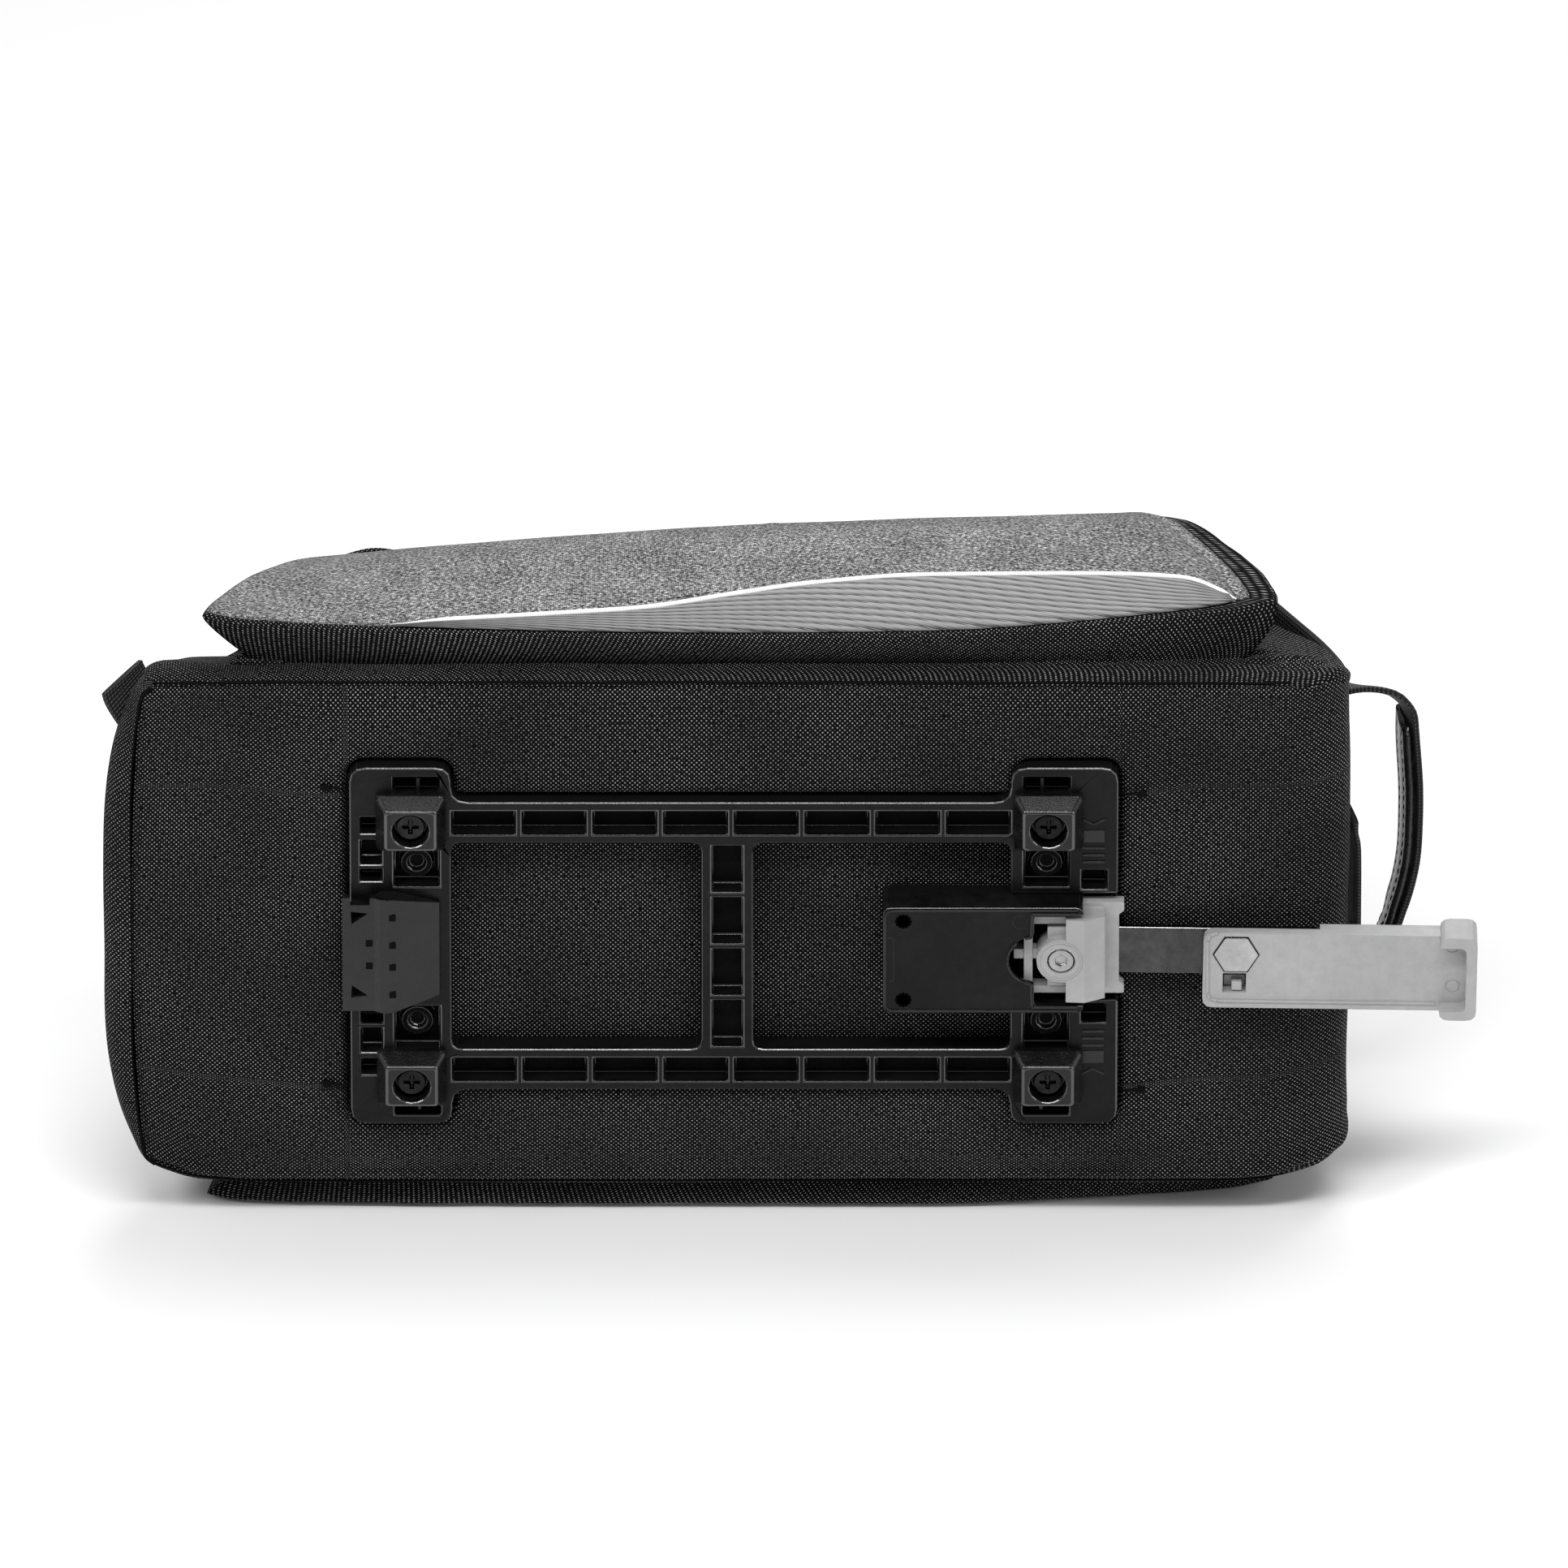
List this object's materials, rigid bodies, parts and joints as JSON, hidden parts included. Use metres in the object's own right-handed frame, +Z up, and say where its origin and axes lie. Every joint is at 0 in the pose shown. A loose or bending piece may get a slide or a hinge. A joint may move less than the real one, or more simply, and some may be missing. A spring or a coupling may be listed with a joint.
{
  "type": "bicycle trunk bag",
  "caption": "Wedge-shaped cloth rack bag on its side, with a lid, a pocket on each side, a carry handle, and a clamp plate with a sliding jaw under its base.",
  "frame": {"origin": "middle of the bottom face of the box round the bag as it lies on its side", "axes": "+Z up, +X towards the end with the carry handle and the pull lever, -Y out of the bag's base with the clamp plate, +Y towards the lid"},
  "size_m": [0.4084, 0.1502, 0.2035],
  "materials": {
    "cloth": "black basket-weave polyester",
    "webbing": "black woven webbing",
    "heather": "grey melange cloth",
    "ribbed_vinyl": "grey coated cloth with embossed ribs",
    "piping": "pale reflective piping",
    "gloss_vinyl": "glossy black vinyl",
    "zip": "black coil zip",
    "black_plastic": "satin moulded nylon",
    "black_screw": "black oxide steel",
    "grey_plastic": "light grey satin plastic",
    "steel": "bright rolled steel"
  },
  "bodies": {
    "bag": {"body_shell": "cloth", "lid_zip": "zip", "lid": "cloth", "lid_zip_pull": "zip", "pocket_gusset_upper": "cloth", "heather_panel_upper": "heather", "ribbed_panel_upper": "ribbed_vinyl", "piping_upper": "piping", "pocket_gusset_lower": "cloth", "heather_panel_lower": "heather", "ribbed_panel_lower": "ribbed_vinyl", "piping_lower": "piping", "adapter_plate": "black_plastic", "clamp_block_nose_upper": "black_plastic", "block_screw_nose_upper": "black_screw", "clamp_block_nose_lower": "black_plastic", "block_screw_nose_lower": "black_screw", "clamp_block_tail_upper": "black_plastic", "block_screw_tail_upper": "black_screw", "clamp_block_tail_lower": "black_plastic", "block_screw_tail_lower": "black_screw", "rack_hook": "black_plastic", "slider_housing": "black_plastic", "carry_handle": "webbing", "grip_pad": "gloss_vinyl", "light_loop": "webbing", "corner_strap": "webbing", "nose_tab": "webbing"},
    "clamp": {"clamp_jaw": "grey_plastic", "jaw_screw": "steel", "pull_strip": "steel", "pull_handle": "grey_plastic", "hex_bolt": "steel", "snap_tongue": "grey_plastic"}
  },
  "joints": [
    {"name": "jaw_pull", "type": "slide", "parent": "bag", "child": "clamp", "axis": [1, 0, 0], "range_m": [0, 0.01], "stiffness_N_per_m": 400}
  ]
}
